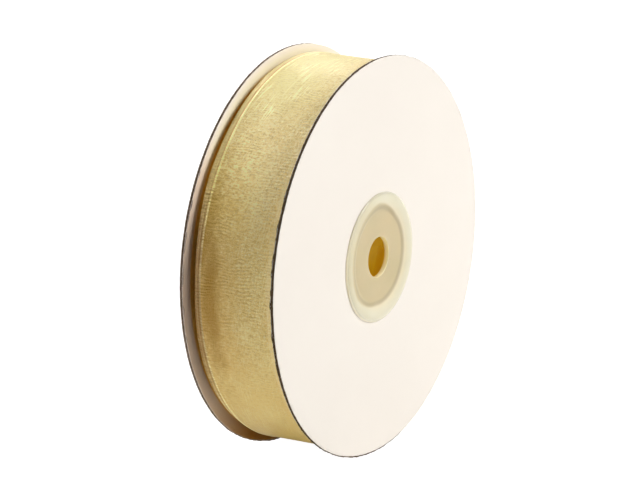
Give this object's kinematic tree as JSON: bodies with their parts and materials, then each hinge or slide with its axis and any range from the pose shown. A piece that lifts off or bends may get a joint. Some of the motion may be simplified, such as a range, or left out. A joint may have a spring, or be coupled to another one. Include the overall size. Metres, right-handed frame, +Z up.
{
  "type": "ribbon spool",
  "caption": "Round card spool of gold sheer ribbon: paper-faced flanges that turn on a snap-together plastic hub with a central spindle hole.",
  "frame": {"origin": "centre of the spool, on the spindle hole's axis, midway between the two flanges", "axes": "+Y along the spindle hole's axis, from the front flange to the rear flange; +Z up with the spool standing on its rims"},
  "size_m": [0.112, 0.0312, 0.112],
  "materials": {
    "card_core": "fibrous cut edge",
    "white_paper": "smooth, slightly coated",
    "hub_plastic": "translucent, satin",
    "barrel_plastic": "translucent, satin",
    "gold_organza": "sheer weave with satin edges",
    "clear_tape": "clear film"
  },
  "bodies": {
    "hub": {"front_hub_cap": "hub_plastic", "rear_hub_cap": "hub_plastic", "hub_barrel": "barrel_plastic", "ribbon": "gold_organza", "leader_tape": "clear_tape", "end_tape": "clear_tape"},
    "front_flange": {"front_board": "card_core", "front_outer_paper": "white_paper", "front_inner_paper": "white_paper"},
    "rear_flange": {"rear_board": "card_core", "rear_outer_paper": "white_paper", "rear_inner_paper": "white_paper"}
  },
  "joints": [
    {"name": "front_flange_turn", "type": "hinge", "parent": "hub", "child": "front_flange", "pos_m": [0, -0.0142, 0], "axis": [0, 1, 0], "continuous": true},
    {"name": "rear_flange_turn", "type": "hinge", "parent": "hub", "child": "rear_flange", "pos_m": [0, 0.0142, 0], "axis": [0, 1, 0], "continuous": true}
  ]
}
